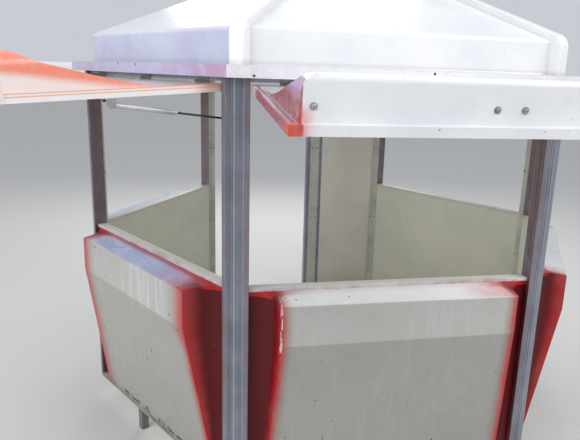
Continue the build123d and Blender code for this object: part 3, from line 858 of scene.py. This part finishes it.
def makeScrew(radius, height, sides, material):
    head = addCylinder(sides, radius, height)
    pickFaces(head, facesUp)
    roundOff(radius, height, screws["rounds"])
    bpy.ops.mesh.inset(thickness=radius * screws["socketLip"])
    extrudeUp(-height * screws["socketDepth"])
    return setDown(head, "screw", material)


def makeStripScrews():
    model = makeScrew(screws["radius"], screws["height"], screws["sides"], screwMetal)
    # half the way between the strips' folds on a side
    fold = (apothem - screws["stripFace"]) * math.tan(math.radians(plan["turn"] / 2))
    places = []
    for number in range(len(plan["sides"])):
        spots = [fold - screws["fromFold"], screws["fromFold"] - fold]
        if number == plan["doorSide"]:
            spots += [plan["jambMiddle"] + turn * screws["jambApart"] / 2 for turn in (-1, 1)]
        for along in spots:
            for height in screws["heights"]:
                at = (along, -apothem + screws["stripFace"], height)
                places.append(sideMatrix(number) @ facing((0, 1, 0), at))
    scatter(model, "strip_screws", places, "root")
    bpy.data.objects.remove(model)


makeStripScrews()
print("strip screws are in")


# Hinges: three countersunk screws in each leaf, on the head rail and on the flap
hinges = {
    "places": [-0.48, 0, 0.48],
    "screwRadius": 0.0034,
    "screwHeight": 0.0012,
    "screwSides": 12,
    # across and up from the pin, and the leaves' faces behind it
    "fixed": [(-0.034, 0.026), (0, 0.030), (0.034, 0.026)],
    "fixedFace": 0.0032,
    "moving": [(-0.009, -0.030), (0.009, -0.030), (0, -0.018)],
    "movingFace": 0.0015,
}


def hingeMatrix(number):
    place = (0, -apothem - plan["pinReach"], plan["pinHeight"])
    return sideMatrix(number) @ Matrix.Translation(place)


def flapMatrix(number):
    # the flap's own frame, in which it hangs straight down from the pin
    return hingeMatrix(number) @ Matrix.Rotation(-openedAngle(number), 4, "X")


def makeHingeScrews():
    model = makeScrew(
        hinges["screwRadius"], hinges["screwHeight"], hinges["screwSides"], boltMetal
    )
    for number in plan["windows"]:
        side = plan["sides"][number]
        fixed, moving = [], []
        for middle in hinges["places"]:
            for across, up in hinges["fixed"]:
                at = (middle + across, hinges["fixedFace"], up)
                fixed.append(hingeMatrix(number) @ facing((0, -1, 0), at))
            for across, up in hinges["moving"]:
                at = (middle + across, hinges["movingFace"], up)
                moving.append(flapMatrix(number) @ facing((0, -1, 0), at))
        scatter(model, f"{side}_hinge_screws", fixed, "root")
        scatter(model, f"{side}_leaf_screws", moving, f"{side}_flap")
    bpy.data.objects.remove(model)


makeHingeScrews()
print("hinge screws are in")


# Flap bolts: round heads on wide washers, through the wall at the flap's tip
bolts = {
    "washerRadius": 0.0105,
    "washerHeight": 0.0016,
    "sides": 24,
    "washerRound": (0.12, 0.3),
    "headRadius": 0.0066,
    "headHeight": 0.0042,
    "headStart": 0.45,  # the share of its height that stands straight
    "headRounds": [(0.16, 0.24), (0.22, 0.18), (0.26, 0.10)],
    # in the frame of a flap that hangs straight down from its pin
    "across": [-0.565, -0.0425, 0.0425, 0.565],
    "outwards": -0.040,
    "wall": -0.795,
}


def makeBolt():
    radius, height = bolts["washerRadius"], bolts["washerHeight"]
    bolt = addCylinder(bolts["sides"], radius, height)
    pickFaces(bolt, facesUp)
    roundOff(radius, height, [bolts["washerRound"]])
    washerTop = radius * (1 - bolts["washerRound"][0])
    bpy.ops.mesh.inset(thickness=washerTop - bolts["headRadius"])
    extrudeUp(bolts["headHeight"] * bolts["headStart"])
    roundOff(bolts["headRadius"], bolts["headHeight"], bolts["headRounds"])
    return setDown(bolt, "bolt", boltMetal)


def makeFlapBolts():
    model = makeBolt()
    for number in plan["windows"]:
        side = plan["sides"][number]
        places = []
        for across in bolts["across"]:
            at = (across, bolts["outwards"], bolts["wall"])
            places.append(flapMatrix(number) @ facing((0, 0, -1), at))
        scatter(model, f"{side}_flap_bolts", places, f"{side}_flap")
    bpy.data.objects.remove(model)


makeFlapBolts()
print("flap bolts are in")


# Light: a pale room with three large soft lamps, and a weak one under the roof
studio = {
    "world": (0.80, 0.84, 0.90),
    "worldStrength": 0.72,
    "floor": (0.62, 0.61, 0.59),
    "floorRough": 0.8,
    "floorSize": 300,
    "floorDrop": 0.001,
    "aim": (0, 0, 1.2),
    "lamps": [
        {"place": (3.5, -4.0, 5.5), "size": 3.5, "power": 245},
        {"place": (-4.5, -3.0, 3.5), "size": 4.0, "power": 170},
        {"place": (0.5, 5.0, 4.5), "size": 4.0, "power": 150},
        {"place": (0, 0.24, 2.2), "size": 1.2, "power": 8, "inside": True},
    ],
}


def makeStudio():
    world = bpy.data.worlds.new("studio")
    world.use_nodes = True
    background = world.node_tree.nodes["Background"]
    background.inputs["Color"].default_value = (*studio["world"], 1)
    background.inputs["Strength"].default_value = studio["worldStrength"]
    scene.world = world
    for count, lamp in enumerate(studio["lamps"]):
        data = bpy.data.lights.new(f"lamp{count}", "AREA")
        data.energy, data.size = lamp["power"], lamp["size"]
        shown = bpy.data.objects.new(f"lamp{count}", data)
        scene.collection.objects.link(shown)
        shown.location = lamp["place"]
        if lamp.get("inside"):
            # faces straight down, in place of the light that the ground throws back in
            shown.visible_camera = shown.visible_glossy = False
            continue
        aim = Vector(studio["aim"]) - Vector(lamp["place"])
        shown.rotation_euler = aim.to_track_quat("-Z", "Y").to_euler()
    bpy.ops.object.select_all(action="DESELECT")
    place = (0, 0, -studio["floorDrop"])
    bpy.ops.mesh.primitive_plane_add(size=studio["floorSize"], location=place)
    floor = bpy.context.object
    floor.name = "floor"
    paint = Paint("floor_paint")
    finish = {"Base Color": studio["floor"], "Roughness": studio["floorRough"]}
    floor.data.materials.append(paint.finish(finish))


makeStudio()
print("studio is lit")
